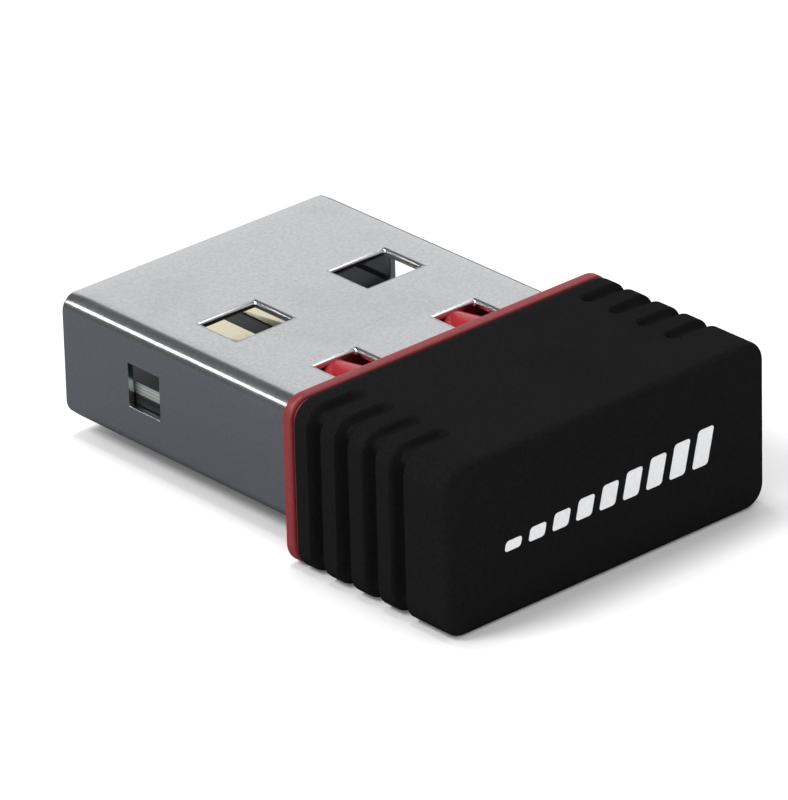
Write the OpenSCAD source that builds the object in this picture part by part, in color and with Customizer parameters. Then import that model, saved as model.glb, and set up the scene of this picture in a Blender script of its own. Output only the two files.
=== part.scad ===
// Nano wireless network adapter with a full-size type A plug.
// +Y is the insertion direction, +X the width, +Z up; millimetres.
// The origin is on the plug's axis, in the face of the collar that stops against the socket.

/* [Plug shell] */
// Outside width of the folded shell
plug_w = 12; // [11.9:0.05:12.1]
// Outside height of the folded shell
plug_h = 4.5; // [4.4:0.05:4.6]
// Length of shell that stands out of the collar
plug_len = 12.4; // [12.2:0.1:13]
// Length of shell hidden behind the collar's front face
root_len = 2.6; // [2.3:0.1:2.8]
// Sheet thickness
sheet = 0.25; // [0.25:0.01:0.3]
// Outside radius of the shell's four bends
bend_r = 0.6; // [0.45:0.05:0.7]
// Distance of each latch window's centre from the centre line
window_x = 2.9; // [2.8:0.1:3.2]
// Latch window width
window_w = 2.4; // [2.2:0.1:2.6]
// Latch window's edge nearest the collar
window_y = 5.63; // [5.5:0.01:6.1]
// Latch window length
window_len = 1.85; // [1.6:0.05:2]
// Edge of the square side hole nearest the collar
side_hole_y = 7.45; // [7.2:0.05:8]
// Side of the square side hole
side_hole = 1.6; // [1.4:0.05:1.8]
// Height of the side hole's centre
side_hole_z = 0.1; // [-0.1:0.05:0.15]
// Distance of each root slot's centre from the centre line
slot_x = 2.65; // [2.6:0.05:2.9]
// Root slot width
slot_w = 1.8; // [1.6:0.05:2]
// How far each root slot reaches past the collar
slot_reach = 2.4; // [2.3:0.1:3]
// Gap of the seam where the sheet's edges meet
seam_gap = 0.06; // [0.04:0.01:0.1]

/* [Collar] */
// Thickness of the collar's flange
collar_t = 0.55; // [0.4:0.05:0.6]
// How far the collar's spigot reaches into the shell
spigot_len = 3.3; // [3.1:0.1:3.4]

/* [Cap] */
// Cap width
cap_w = 14.2; // [14:0.1:15]
// Cap height
cap_h = 6.05; // [5.95:0.05:6.5]
// Cap length behind the collar
cap_len = 7.25; // [7.25:0.05:8]
// Height of the cap's centre above the plug's axis
cap_rise = 0.1; // [0:0.05:0.15]
// Radius along the cap's four long edges
cap_corner = 0.8; // [0.6:0.1:1.1]
// Radius around the cap's end face
cap_edge = 0.25; // [0.15:0.05:0.5]
// Thickness of the cap's end wall
end_wall = 1; // [0.8:0.1:1.2]
// Number of grip grooves on each side
groove_count = 4; // [2:1:4]
// Distance between grip grooves
groove_pitch = 1.32; // [1.28:0.01:1.34]
// Grip groove width
groove_w = 0.55; // [0.4:0.05:0.6]
// Grip groove depth
groove_depth = 0.48; // [0.3:0.02:0.5]
// Depth of a groove's run-out on the top and the bottom
runout_depth = 0.26; // [0.16:0.02:0.26]
// Distance from the centre line to the round end of each run-out
groove_end_x = 4.9; // [4.5:0.1:5.4]

/* [Circuit board] */
// Board thickness
board_t = 0.8; // [0.7:0.05:0.85]
// Height of the board's upper face
board_top = 0.05; // [0:0.01:0.1]
// Board width inside the plug
board_w = 11.2; // [11:0.1:11.3]
// Board width inside the cap
board_rear_w = 10; // [9.8:0.1:10]
// Front edge of the board
board_front = 11.8; // [11.4:0.1:11.9]
// Thickness of the contacts
contact_t = 0.05; // [0.03:0.01:0.08]
// Contact width
contact_w = 1.15; // [1:0.05:1.2]

/* [Hidden] */

through = 1;
sides = [-1, 1];

inner_w = plug_w - 2 * sheet;
inner_h = plug_h - 2 * sheet;
board_bottom = board_top - board_t;
cap_front = -collar_t;
cap_back = cap_front - cap_len;
cavity_back = cap_back + end_wall;
cavity_w = plug_w + 0.1;
cavity_h = plug_h + 0.06;
board_back = cavity_back + 0.1;
board_shoulder = spigot_len + 0.05;
groove_first = cap_front - 1;

// The clip between the cap and the shell's root
clip_y = -1.6;
clip_w = 1.4;
clip_len = 0.7;
clip_hole_w = 1.6;
clip_hole_len = 0.9;
clip_depth = 0.22;

// Seam tongue on the shell's underside, in the X and Y of the row
seam_tongue_y = [8.5, 10.7];
seam_tongue_x = 1.3;
seam_flare = 0.3;

// Contacts: [centre in X, front end in Y]; all of them end at contact_back
vbus_at = [-3.5, 11.5];
data_minus_at = [-1, 11];
data_plus_at = [1, 11];
ground_at = [3.5, 11.5];
contact_back = 4.2;
trace_t = 0.03;

// Sizes of the parts on the board: [length, width, height, terminal length]
size_0402 = [1, 0.5, 0.5, 0.22];
size_0402_resistor = [1, 0.5, 0.35, 0.22];
size_0603 = [1.6, 0.8, 0.6, 0.3];
size_0805 = [2, 1.25, 0.85, 0.4];
size_inductor = [2, 1.6, 1, 0.35];
size_antenna = [3.2, 1.6, 1.1, 0.4];
chip_w = 4;
chip_h = 0.75;
chip_standoff = 0.1;
chip_at = [-0.9, -2.75];

// Places on the board: [X, Y, side (1 top, -1 underside), turn in degrees]
bypass_places = concat(
    [for (i = [0:3]) [-3.9, -1.2 - 0.9 * i, 1, 0]],
    [for (i = [0:1]) [3.9, -5 - 0.9 * i, 1, 0]]
);
resistor_places = [[-3.9, -4.8, 1, 0], [-3.9, -5.7, 1, 0], [-1.2, 0.3, 1, 90], [-0.2, 0.3, 1, 90]];
bulk_places = [[-3.3, 0.3, 1, 90], [3.3, 0.3, 1, 90], [3.7, -4.6, -1, 90]];
inductor_place = [1.6, -4.6, -1, 0];
ferrite_place = [-3.3, 2.35, 1, 90];
filter_place = [2.1, -5.6, 1, 0];
antenna_place = [-0.8, -5.75, 1, 0];
crystal_place = [2.75, -2.6, 1, 90];
regulator_place = [-2.4, -4.6, -1, 0];
esd_place = [0, 2, 1, 0];

// Rectangle about the origin with true round corners
module rounded_rect(w, h, r) {
    square([w - 2 * r, h], center = true);
    square([w, h - 2 * r], center = true);
    for (sx = sides, sy = sides)
        translate([sx * (w / 2 - r), sy * (h / 2 - r)]) circle(r, $fn = 64);
}

// Bar along Y from y0 to y1 with a rounded section, centred at height zc
module bar_y(w, h, r, y0, y1, zc = 0) {
    translate([0, y1, zc]) rotate([90, 0, 0]) linear_extrude(y1 - y0) rounded_rect(w, h, r);
}

// Block between two corners
module block(low, high) {
    translate(low) cube(high - low);
}

// Block that is centred on X and runs from y0 to y1 and from z0 to z1
module centred_block(w, y0, y1, z0, z1, x = 0) {
    block([x - w / 2, y0, z0], [x + w / 2, y1, z1]);
}

// Puts a part on a place of the board
module on_board(place) {
    top = place[2] > 0;
    translate([place[0], place[1], top ? board_top : board_bottom])
        rotate([top ? 0 : 180, 0, place[3]]) children();
}

// Body of a two-terminal part, between its end caps
module two_terminal_body(s) {
    inset = 0.03;
    centred_block(s[0] - 2 * s[3], -s[1] / 2 + inset, s[1] / 2 - inset, inset, s[2] - inset);
}

// The two metal end caps of such a part
module two_terminal_ends(s) {
    for (sx = sides)
        centred_block(s[3], -s[1] / 2, s[1] / 2, 0, s[2], sx * (s[0] - s[3]) / 2);
}

// Body of a gull-wing package
module gull_body(w, d, h) {
    standoff = 0.1;
    centred_block(w, -d / 2, d / 2, standoff, h);
}

// One gull-wing lead that leaves the body's face at y = d / 2
module gull_lead(d, w) {
    metal = 0.12;
    exit_z = 0.45;
    riser = 0.22;
    foot = 0.3;
    reach = d / 2 + riser;
    translate([-w / 2, 0, 0]) rotate([90, 0, 90]) linear_extrude(w) polygon([
        [d / 2, exit_z], [reach - metal, exit_z], [reach - metal, 0], [reach + foot, 0],
        [reach + foot, metal], [reach, metal], [reach, exit_z + metal], [d / 2, exit_z + metal],
    ]);
}

// Leads of a gull-wing package: X places in front and behind
module gull_leads(d, w, front, back) {
    for (x = front) translate([x, 0, 0]) gull_lead(d, w);
    for (x = back) translate([x, 0, 0]) rotate([0, 0, 180]) gull_lead(d, w);
}

// Outline of the seam's tongue, grown by g on its three free sides
module seam_tongue_outline(g) {
    y = seam_tongue_y;
    polygon([
        [-seam_gap / 2, y[0] - g], [seam_tongue_x + g, y[0] - seam_flare - g],
        [seam_tongue_x + g, y[1] + seam_flare + g], [-seam_gap / 2, y[1] + g],
    ]);
}

// The seam's gap through the shell's underside
module seam() {
    y = seam_tongue_y;
    low = -plug_h / 2 - through;
    translate([0, 0, low]) linear_extrude(through + 1.5 * sheet) {
        for (span = [[-root_len - through, y[0]], [y[1], plug_len + through]])
            translate([-seam_gap / 2, span[0]]) square([seam_gap, span[1] - span[0]]);
        difference() {
            seam_tongue_outline(seam_gap);
            seam_tongue_outline(0);
        }
    }
}

// Folded steel shell of the plug
module plug_shell() {
    windows_end = window_y + window_len;
    color("#c8cacd") difference() {
        bar_y(plug_w, plug_h, bend_r, -root_len, plug_len);
        bar_y(inner_w, inner_h, bend_r - sheet, -root_len - through, plug_len + through);
        for (sx = sides) {
            centred_block(window_w, window_y, windows_end, -plug_h, plug_h, sx * window_x);
            centred_block(slot_w, -root_len - through, slot_reach, -plug_h, plug_h, sx * slot_x);
        }
        block(
            [-plug_w, side_hole_y, side_hole_z - side_hole / 2],
            [plug_w, side_hole_y + side_hole, side_hole_z + side_hole / 2]
        );
        centred_block(clip_hole_w, clip_y - clip_hole_len / 2, clip_y + clip_hole_len / 2, 0, plug_h);
        seam();
    }
}

// Bridge that joins the collar's flange to its spigot through one root slot, with a ramp in front
module collar_bridge() {
    w = slot_w - 0.1;
    low = inner_h / 2 - 0.4;
    high = plug_h / 2;
    ramp_end = slot_reach - 0.2;
    translate([-w / 2, 0, 0]) rotate([90, 0, 90]) linear_extrude(w) polygon([
        [-collar_t, low], [ramp_end, low], [ramp_end, inner_h / 2 - 0.02],
        [0.3, high - 0.06], [0, high + 0.2], [-collar_t, high + 0.2],
    ]);
}

// Moulded collar: the flange that shows, and the spigot that carries the board and the shell
module collar() {
    opening_w = 8.6;
    opening_h = 2.7;
    board_fit = 0.03;
    color("#a83a40") difference() {
        union() {
            difference() {
                bar_y(cap_w, cap_h, cap_corner, -collar_t, 0, cap_rise);
                bar_y(plug_w + 0.04, plug_h + 0.04, bend_r, -collar_t - through, through);
            }
            bar_y(inner_w - 0.1, inner_h - 0.06, 0.25, -collar_t, spigot_len);
            for (sx = sides, turn = [0, 180])
                rotate([0, turn, 0]) translate([sx * slot_x, 0, 0]) collar_bridge();
        }
        centred_block(opening_w, -collar_t - through, spigot_len + through, -opening_h / 2, opening_h / 2);
        centred_block(
            board_rear_w + 0.1, -collar_t - through, spigot_len + through,
            board_bottom - board_fit, board_top + board_fit
        );
    }
}

// Moulded block that holds the board at its height in the plug
module tongue_support() {
    lip_back = board_front;
    lip_front = board_front + 0.3;
    bevel = 0.35;
    low = -inner_h / 2 + 0.02;
    back = spigot_len + 0.1;
    color("#1b1b1d") intersection() {
        bar_y(board_w, -2 * low, bend_r - sheet, back - through, lip_front + through);
        translate([-board_w, 0, 0]) rotate([90, 0, 90]) linear_extrude(2 * board_w) polygon([
            [back, low], [lip_front - bevel, low], [lip_front, low + bevel],
            [lip_front, board_top - bevel], [lip_front - 0.1, board_top - 0.05],
            [lip_back, board_top - 0.05], [lip_back, board_bottom], [back, board_bottom],
        ]);
    }
}

// Cutter of one grip groove on the +X side: the slot, and its round-ended run-outs on the top and the bottom
module grip_groove() {
    r = groove_w / 2;
    floor_x = cap_w / 2 - groove_depth;
    translate([0, 0, -cap_h]) linear_extrude(2 * cap_h) {
        translate([floor_x + r, -r]) square([through, groove_w]);
        translate([floor_x + r, 0]) circle(r, $fn = 48);
    }
    for (turn = [0, 180])
        rotate([turn, 0, 0]) translate([groove_end_x + r, 0, cap_h / 2 + r - runout_depth]) {
            sphere(r, $fn = 48);
            rotate([0, 90, 0]) cylinder(r = r, h = cap_w / 4, $fn = 48);
        }
}

// Outside of the cap, with its grip grooves
module cap_outside() {
    spare = 2;
    long = cap_len + spare;
    middle = (cap_back + cap_front + spare) / 2;
    difference() {
        intersection() {
            bar_y(cap_w, cap_h, cap_corner, cap_back, cap_front, cap_rise);
            translate([0, middle, -cap_h]) linear_extrude(2 * cap_h + 1)
                rounded_rect(cap_w, long, cap_edge);
            translate([-cap_w, middle, cap_rise]) rotate([90, 0, 90]) linear_extrude(2 * cap_w)
                rounded_rect(long, cap_h, cap_edge);
        }
        for (turn = [0, 180], i = [0:groove_count - 1])
            translate([0, groove_first - groove_pitch * i, cap_rise]) rotate([0, turn, 0]) grip_groove();
    }
}

// Hollow cap, with rails for the board's edges and a clip for the shell's root
module housing_cap() {
    rail_in = 4.7;
    rail_front = -root_len - 0.4;
    rail_top = 0.85;
    rail_fit = 0.03;
    lap = 0.2;
    color("#1c1c1d") {
        difference() {
            cap_outside();
            centred_block(cavity_w, cavity_back, cap_front + through, -cavity_h / 2, cavity_h / 2);
        }
        for (flip = [0, 1]) mirror([flip, 0, 0]) {
            block(
                [rail_in, cavity_back - lap, -cavity_h / 2 - lap],
                [cavity_w / 2 + lap, rail_front, board_bottom - rail_fit]
            );
            block(
                [rail_in, cavity_back - lap, board_top + rail_fit],
                [cavity_w / 2 + lap, rail_front, rail_top]
            );
        }
        centred_block(
            clip_w, clip_y - clip_len / 2, clip_y + clip_len / 2,
            cavity_h / 2 - clip_depth, cavity_h / 2 + lap
        );
    }
}

// Board with its wide front and its narrow rear
module circuit_board() {
    corner = 0.3;
    color("#123a34") {
        translate([0, 0, board_bottom]) linear_extrude(board_t) {
            translate([0, (board_shoulder + board_front) / 2])
                rounded_rect(board_w, board_front - board_shoulder, corner);
            translate([0, (board_back + board_shoulder + 1) / 2])
                rounded_rect(board_rear_w, board_shoulder + 1 - board_back, corner);
        }
    }
}

// One gold-plated contact
module contact(at) {
    color("#d8b867")
        centred_block(contact_w, contact_back, at[1], board_top, board_top + contact_t, at[0]);
}

// Copper from the contacts to the parts that they feed
module usb_traces() {
    wide = 0.4;
    fine = 0.24;
    lead_x = 0.65;
    color("#b87333") {
        centred_block(wide, 3.15, contact_back, board_top, board_top + trace_t, -3.3);
        centred_block(wide, 1.3, contact_back, board_top, board_top + trace_t, 3.3);
        for (sx = sides)
            centred_block(fine, 3.15, contact_back, board_top, board_top + trace_t, sx * lead_x);
    }
}

// Moulded body of the radio and network chip
module wifi_chip() {
    color("#222224") translate([chip_at[0], chip_at[1], board_top])
        centred_block(chip_w, -chip_w / 2, chip_w / 2, chip_standoff, chip_standoff + chip_h);
}

// Solder pads under the chip: a row along each side and the heat pad
module wifi_chip_pads() {
    per_side = 6;
    pitch = 0.55;
    pad_w = 0.26;
    pad_l = 0.4;
    heat = 2.4;
    color("#c9c9c4") translate([chip_at[0], chip_at[1], board_top]) {
        centred_block(heat, -heat / 2, heat / 2, 0, chip_standoff);
        for (turn = [0:90:270], i = [0:per_side - 1])
            rotate([0, 0, turn]) centred_block(
                pad_w, chip_w / 2 - pad_l, chip_w / 2, 0, chip_standoff, (i - (per_side - 1) / 2) * pitch
            );
    }
}

crystal_l = 3.2;
crystal_w = 2.5;
crystal_base_h = 0.5;
crystal_lid_h = 0.2;

// Ceramic base of the crystal
module crystal_base() {
    color("#c9bfa5") on_board(crystal_place)
        centred_block(crystal_l, -crystal_w / 2, crystal_w / 2, 0, crystal_base_h);
}

// Metal lid of the crystal
module crystal_lid() {
    margin = 0.15;
    color("#c4c6c8") on_board(crystal_place) translate([0, 0, crystal_base_h])
        linear_extrude(crystal_lid_h) rounded_rect(crystal_l - 2 * margin, crystal_w - 2 * margin, 0.3);
}

regulator_w = 2.9;
regulator_d = 1.6;

// Body of the voltage regulator
module regulator_body() {
    color("#262628") on_board(regulator_place) gull_body(regulator_w, regulator_d, 1.1);
}

// Leads of the voltage regulator
module regulator_leads() {
    color("#c9c9c4") on_board(regulator_place)
        gull_leads(regulator_d, 0.4, [-0.95, 0, 0.95], [-0.95, 0.95]);
}

esd_w = 2;
esd_d = 1.25;

// Body of the part that protects the data lines from static
module esd_protection() {
    color("#262628") on_board(esd_place) gull_body(esd_w, esd_d, 0.9);
}

// Its leads
module esd_leads() {
    color("#c9c9c4") on_board(esd_place)
        gull_leads(esd_d, 0.24, [-0.65, 0, 0.65], [-0.65, 0, 0.65]);
}

// Inductor of the chip's own switching supply
module power_inductor() {
    color("#4a4a4d") on_board(inductor_place) two_terminal_body(size_inductor);
}

// Its end caps
module inductor_terminals() {
    color("#c9c9c4") on_board(inductor_place) two_terminal_ends(size_inductor);
}

// Bead that keeps noise off the supply line
module ferrite_bead() {
    color("#3c3c40") on_board(ferrite_place) two_terminal_body(size_0603);
}

// Its end caps
module ferrite_bead_terminals() {
    color("#c9c9c4") on_board(ferrite_place) two_terminal_ends(size_0603);
}

// Bulk capacitors
module bulk_capacitors() {
    color("#9c7a52") for (place = bulk_places) on_board(place) two_terminal_body(size_0805);
}

// Their end caps
module bulk_capacitor_terminals() {
    color("#c9c9c4") for (place = bulk_places) on_board(place) two_terminal_ends(size_0805);
}

// Bypass capacitors
module bypass_capacitors() {
    color("#a98a62") for (place = bypass_places) on_board(place) two_terminal_body(size_0402);
}

// Their end caps
module bypass_capacitor_terminals() {
    color("#c9c9c4") for (place = bypass_places) on_board(place) two_terminal_ends(size_0402);
}

// Resistors
module resistors() {
    color("#1d1d20") for (place = resistor_places) on_board(place) two_terminal_body(size_0402_resistor);
}

// Their end caps
module resistor_terminals() {
    color("#c9c9c4") for (place = resistor_places) on_board(place) two_terminal_ends(size_0402_resistor);
}

// Filter between the chip and the antenna
module rf_filter() {
    color("#d9d4c6") on_board(filter_place) two_terminal_body(size_0603);
}

// Its end caps
module rf_filter_terminals() {
    color("#c9c9c4") on_board(filter_place) two_terminal_ends(size_0603);
}

// Ceramic antenna at the board's rear edge
module chip_antenna() {
    color("#e4e1d8") on_board(antenna_place) two_terminal_body(size_antenna);
}

// Its end caps
module antenna_terminals() {
    color("#c9c9c4") on_board(antenna_place) two_terminal_ends(size_antenna);
}

// Copper from the chip through the filter to the antenna
module antenna_feed() {
    w = 0.3;
    filter_end = filter_place[0] + size_0603[0] / 2;
    filter_start = filter_place[0] - size_0603[0] / 2;
    antenna_end = antenna_place[0] + size_antenna[0] / 2;
    filter_top = filter_place[1] + size_0603[1] / 2;
    chip_side = chip_at[0] + chip_w / 2;
    chip_corner = chip_at[1] - chip_w / 2;
    color("#b87333") {
        block(
            [antenna_end, filter_place[1] - w / 2, board_top],
            [filter_start, filter_place[1] + w / 2, board_top + trace_t]
        );
        block([filter_end - w, filter_top, board_top], [filter_end, chip_corner + w, board_top + trace_t]);
        block([chip_side, chip_corner, board_top], [filter_end, chip_corner + w, board_top + trace_t]);
    }
}

plug_shell();
collar();
tongue_support();
housing_cap();
circuit_board();
contact(vbus_at);  // contact_vbus
contact(data_minus_at);  // contact_data_minus
contact(data_plus_at);  // contact_data_plus
contact(ground_at);  // contact_ground
usb_traces();
wifi_chip();
wifi_chip_pads();
crystal_base();
crystal_lid();
regulator_body();
regulator_leads();
esd_protection();
esd_leads();
power_inductor();
inductor_terminals();
ferrite_bead();
ferrite_bead_terminals();
bulk_capacitors();
bulk_capacitor_terminals();
bypass_capacitors();
bypass_capacitor_terminals();
resistors();
resistor_terminals();
rf_filter();
rf_filter_terminals();
chip_antenna();
antenna_terminals();
antenna_feed();
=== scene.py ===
"""Looks of a nano wireless network adapter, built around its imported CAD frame.

Lengths in the classes are in millimetres and turn into metres where a mesh is made. The row frame is the
CAD's: +Y is the direction of insertion, +X the width, +Z up, and the origin is in the collar's face.
"""

import logging
import math
from dataclasses import dataclass, field
from enum import Enum

import bpy
import numpy as np
from mathutils import Matrix, Vector


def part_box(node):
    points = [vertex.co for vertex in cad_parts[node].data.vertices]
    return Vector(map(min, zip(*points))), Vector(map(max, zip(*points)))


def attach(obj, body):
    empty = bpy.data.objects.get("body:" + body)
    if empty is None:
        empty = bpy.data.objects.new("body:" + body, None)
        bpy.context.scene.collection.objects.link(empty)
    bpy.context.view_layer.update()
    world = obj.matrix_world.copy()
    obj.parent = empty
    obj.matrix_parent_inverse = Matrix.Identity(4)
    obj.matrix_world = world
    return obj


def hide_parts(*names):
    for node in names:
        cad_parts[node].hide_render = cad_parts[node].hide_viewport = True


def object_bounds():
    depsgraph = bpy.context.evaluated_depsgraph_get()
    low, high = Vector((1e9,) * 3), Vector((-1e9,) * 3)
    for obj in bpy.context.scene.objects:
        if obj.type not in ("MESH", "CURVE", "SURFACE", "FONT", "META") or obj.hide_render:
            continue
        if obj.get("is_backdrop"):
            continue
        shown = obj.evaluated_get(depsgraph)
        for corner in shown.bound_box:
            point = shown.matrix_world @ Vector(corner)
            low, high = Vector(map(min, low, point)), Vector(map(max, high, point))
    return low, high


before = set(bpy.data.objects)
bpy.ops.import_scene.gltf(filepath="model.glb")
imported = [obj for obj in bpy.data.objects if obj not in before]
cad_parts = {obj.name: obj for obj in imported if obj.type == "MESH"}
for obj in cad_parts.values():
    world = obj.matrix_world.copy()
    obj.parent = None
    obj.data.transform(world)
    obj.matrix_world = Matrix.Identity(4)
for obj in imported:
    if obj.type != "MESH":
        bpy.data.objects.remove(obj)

MM = 0.001
ROOT = "root"
SHARP = math.radians(38)
SHEET = 0.25  # thickness of the shell's steel, in millimetres
SLOT_END = 2.4  # Y where the root slots end, in millimetres
log = logging.getLogger("adapter")


# ---------------------------------------------------------------- grids, outlines and meshes


def smooth(value: np.ndarray, low: float, high: float) -> np.ndarray:
    """Smoothstep: 3t^2 - 2t^3, with t running from 0 at low to 1 at high.

    Args:
        value: Where to evaluate it.
        low: Value where the step starts.
        high: Value where the step ends; it may be below low.

    Returns:
        The step's height, from 0 to 1.
    """
    t = np.clip((np.asarray(value, float) - low) / (high - low), 0.0, 1.0)
    return t * t * (3.0 - 2.0 * t)


def lines(breaks: list[float], step: float) -> np.ndarray:
    """Grid lines through every break, with each interval split evenly into steps no longer than step.

    Args:
        breaks: Values that must be grid lines, in any order.
        step: Longest distance between two lines.

    Returns:
        Rising values.
    """
    rising = np.unique(np.round(breaks, 6))
    parts = [
        np.linspace(a, b, max(1, math.ceil((b - a) / step)), endpoint=False)
        for a, b in zip(rising[:-1], rising[1:])
    ]
    return np.concatenate([*parts, rising[-1:]])


def quarter(steps: int) -> np.ndarray:
    """Angles of a quarter turn, from 0 to 90 degrees, in radians."""
    return np.linspace(0.0, math.pi / 2, steps + 1)


def rounded(radius: float, steps: int) -> list[tuple[float, float]]:
    """Insets and climbs along a rounded edge: radius (1 - sin a) and radius (1 - cos a) over a quarter turn.

    Args:
        radius: The edge's radius.
        steps: Steps of the quarter turn.

    Returns:
        Pairs of inset and climb, from the flat end to the upright side.
    """
    return [(radius * (1 - math.sin(a)), radius * (1 - math.cos(a))) for a in quarter(steps)]


@dataclass(frozen=True)
class Outline:
    """The sampling of a rounded rectangle, so that outlines of any size match point for point.

    Attributes:
        across: Fractions along the two long flats, from -1 to 1.
        upright: Fractions along the two short flats, from -1 to 1.
        arc_steps: Steps of each corner's arc.
    """

    across: tuple[float, ...] = (-1.0, 0.0, 1.0)
    upright: tuple[float, ...] = (-1.0, 0.0, 1.0)
    arc_steps: int = 8

    def points(self, width: float, height: float, radius: float) -> tuple[np.ndarray, np.ndarray]:
        """Points and outward normals of a rounded rectangle about the origin.

        A flat's point is its fraction times half the flat; a corner's point is the corner's centre plus the
        radius times (cos a, sin a). The flats' ends are the arcs' ends, and the loop runs anticlockwise.

        Args:
            width: Full width.
            height: Full height.
            radius: Corner radius; it is held to half the shorter side.

        Returns:
            Points (n, 2) and unit normals (n, 2).
        """
        r = min(radius, width / 2, height / 2)
        half_x, half_y = width / 2 - r, height / 2 - r
        across, upright = np.array(self.across)[1:-1], np.array(self.upright)[1:-1]
        points, normals = [], []
        flats = (
            (np.stack([across * half_x, np.full_like(across, -height / 2)], 1), (0.0, -1.0)),
            (np.stack([np.full_like(upright, width / 2), upright * half_y], 1), (1.0, 0.0)),
            (np.stack([-across * half_x, np.full_like(across, height / 2)], 1), (0.0, 1.0)),
            (np.stack([np.full_like(upright, -width / 2), -upright * half_y], 1), (-1.0, 0.0)),
        )
        corners = ((half_x, -half_y), (half_x, half_y), (-half_x, half_y), (-half_x, -half_y))
        for turn, ((flat, normal), corner) in enumerate(zip(flats, corners)):
            angle = quarter(self.arc_steps) + (turn - 1) * math.pi / 2
            ray = np.stack([np.cos(angle), np.sin(angle)], 1)
            points += [flat, np.array(corner) + r * ray]
            normals += [np.tile(normal, (len(flat), 1)), ray]
        return np.concatenate(points), np.concatenate(normals)


def along_y(points: np.ndarray, y: float, rise: float = 0.0) -> np.ndarray:
    """Stands a loop of (x, z) points in the plane at y, raised by rise.

    Args:
        points: Loop (n, 2).
        y: The plane's place.
        rise: Added to z.

    Returns:
        Loop (n, 3).
    """
    return np.stack([points[:, 0], np.full(len(points), y), points[:, 1] + rise], 1)


def grid_faces(rows: int, columns: int, wrap_rows: bool, wrap_columns: bool) -> np.ndarray:
    """Quads of a grid whose vertices are numbered row by row.

    Args:
        rows: Number of rows of vertices.
        columns: Number of vertices in a row.
        wrap_rows: Whether the last row joins the first.
        wrap_columns: Whether a row's end joins its start.

    Returns:
        Vertex numbers (rows of cells, columns of cells, 4).
    """
    row, column = np.meshgrid(
        np.arange(rows if wrap_rows else rows - 1),
        np.arange(columns if wrap_columns else columns - 1),
        indexing="ij",
    )
    next_row, next_column = (row + 1) % rows, (column + 1) % columns
    return np.stack(
        [row * columns + column, row * columns + next_column,
         next_row * columns + next_column, next_row * columns + column], -1)


def outward(points: np.ndarray, faces: list[list[int]]) -> list[list[int]]:
    """Turns all faces round if together they enclose a negative volume about the middle of the points.

    The volume is a sixth of the sum of p0 . (p1 x p2) over each face's first three points, which has the
    right sign for shells whose faces all run the same way.

    Args:
        points: Vertices (n, 3).
        faces: Vertex numbers of each face.

    Returns:
        The faces, pointing outwards.
    """
    corner = np.array([f[:3] for f in faces])
    centred = points - points.mean(0)
    a, b, c = (centred[corner[:, i]] for i in range(3))
    volume = np.einsum("ij,ij->i", a, np.cross(b, c)).sum()
    return faces if volume > 0 else [f[::-1] for f in faces]


def new_piece(name: str, points: np.ndarray, faces: list[list[int]]) -> bpy.types.Object:
    """Makes a mesh piece from millimetre points, at the origin of the row frame, and lets it ride the body.

    Args:
        name: The piece's name.
        points: Vertices (n, 3) in millimetres.
        faces: Vertex numbers of each face.

    Returns:
        The new object.
    """
    mesh = bpy.data.meshes.new(name)
    mesh.from_pydata((points * MM).tolist(), [], outward(points, faces))
    mesh.validate()
    mesh.shade_smooth()
    mesh.set_sharp_from_angle(angle=SHARP)
    piece = bpy.data.objects.new(name, mesh)
    bpy.context.scene.collection.objects.link(piece)
    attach(piece, ROOT)
    return piece


def loft(loops: list[np.ndarray], ring: bool) -> tuple[np.ndarray, list[list[int]]]:
    """Closed skin through a row of matching loops.

    Args:
        loops: Loops (n, 3), all of the same n, in order along the skin.
        ring: True joins the last loop to the first, as on a frame; False closes both ends with a fan to
            the middle of the end loops.

    Returns:
        Vertices and faces.
    """
    count = len(loops[0])
    points = np.concatenate(loops)
    faces = grid_faces(len(loops), count, ring, True).reshape(-1, 4).tolist()
    if ring:
        return points, faces
    ends = np.stack([loops[0].mean(0), loops[-1].mean(0)])
    start, last = len(points), (len(loops) - 1) * count
    around = np.arange(count)
    after = (around + 1) % count
    faces += np.stack([after, around, np.full(count, start)], 1).tolist()
    faces += np.stack([last + around, last + after, np.full(count, start + 1)], 1).tolist()
    return np.concatenate([points, ends]), faces


def joined(parts: list[tuple[np.ndarray, list[list[int]]]]) -> tuple[np.ndarray, list[list[int]]]:
    """Puts several meshes of triangles and quads into one.

    Each mesh's vertex numbers move up by the number of vertices before it. A triangle repeats its last
    number meanwhile, so that all faces are one array.

    Args:
        parts: Vertices and faces of each mesh.

    Returns:
        Vertices and faces of all together.
    """
    faces, start = [], 0
    for points, skin in parts:
        moved = np.array([face if len(face) == 4 else face + face[-1:] for face in skin]) + start
        faces += [face[:3] if face[2] == face[3] else face for face in moved.tolist()]
        start += len(points)
    return np.concatenate([points for points, _ in parts]), faces


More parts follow.
